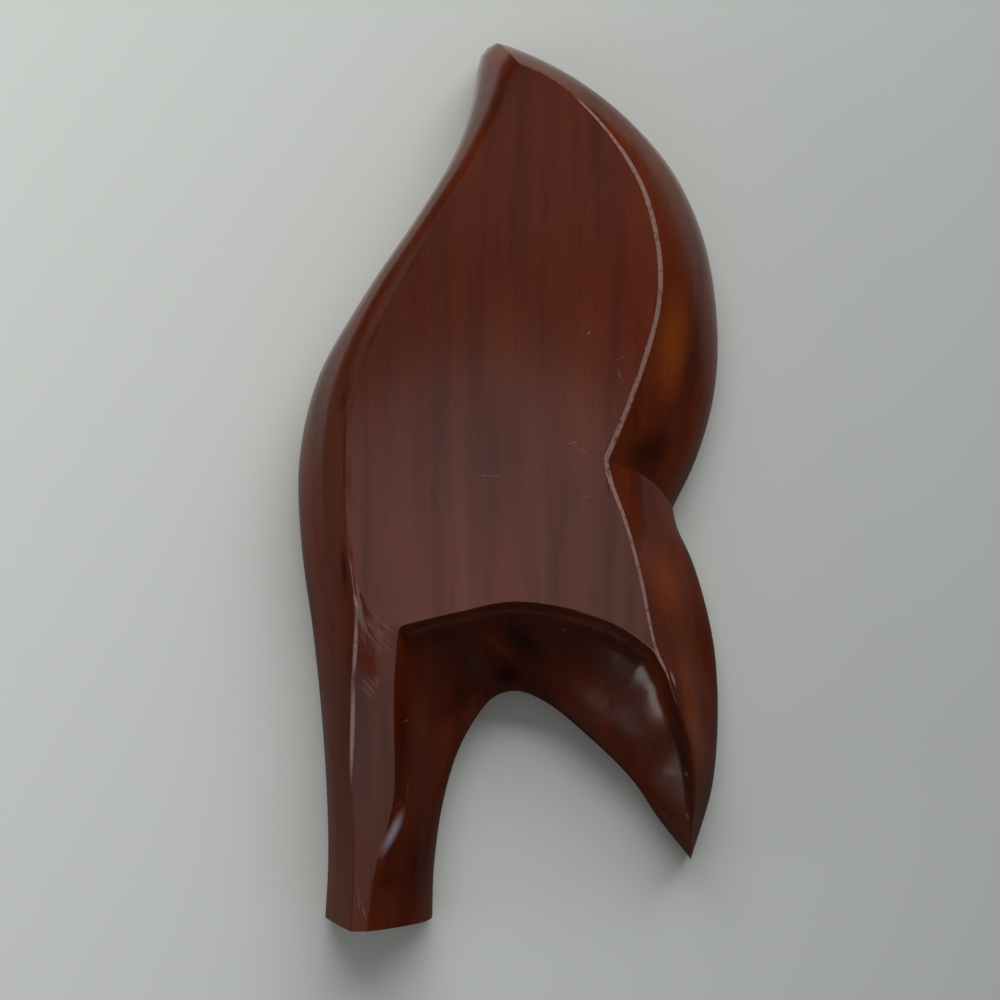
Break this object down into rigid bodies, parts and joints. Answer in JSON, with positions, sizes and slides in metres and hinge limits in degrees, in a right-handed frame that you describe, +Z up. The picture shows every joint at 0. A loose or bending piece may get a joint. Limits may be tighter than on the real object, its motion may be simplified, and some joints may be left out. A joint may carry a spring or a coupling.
{
  "type": "leaf-shaped serving dish",
  "caption": "Serving dish carved from one block of dark hardwood as a leaf, with a shallow hollow, a flat foot, a pointed side lobe and a stem for a handle.",
  "frame": {"origin": "on the plane of the flat foot, below the middle of the dish's box", "axes": "+Z up, out of the hollow; +Y along the leaf to its tip, so the stem's end is at -Y; +X towards the smooth side and -X towards the two side lobes"},
  "size_m": [0.1666, 0.3448, 0.036],
  "materials": {
    "wood": "dark red-brown hardwood under glossy lacquer"
  },
  "bodies": {
    "root": {"carved_dish": "wood"}
  },
  "joints": []
}
